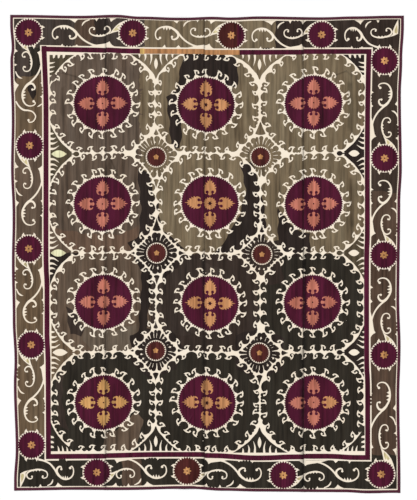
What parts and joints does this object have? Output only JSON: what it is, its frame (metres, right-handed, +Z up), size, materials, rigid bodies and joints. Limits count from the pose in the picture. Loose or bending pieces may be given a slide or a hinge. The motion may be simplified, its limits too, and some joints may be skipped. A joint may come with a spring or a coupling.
{
  "type": "suzani embroidered textile",
  "caption": "Flat embroidered cotton hanging of narrow widths sewn edge to edge, with rows of large round medallions, a flower and vine border and a plum edging.",
  "frame": {"origin": "under the middle of the cloth's bounding box, on the surface that it lies on", "axes": "+X to the right of the picture, +Y to its head, +Z up off the embroidered face"},
  "size_m": [1.811, 2.201, 0.0065],
  "materials": {
    "cloth": "cream hand-loomed cotton closely covered with laid silk stitching, low sheen",
    "edging": "narrow woven plum cotton, matte"
  },
  "bodies": {
    "root": {"panel_1": "cloth", "panel_2": "cloth", "panel_3": "cloth", "panel_4": "cloth", "edging_left": "edging", "edging_right": "edging", "edging_top": "edging", "edging_bottom": "edging"}
  },
  "joints": []
}
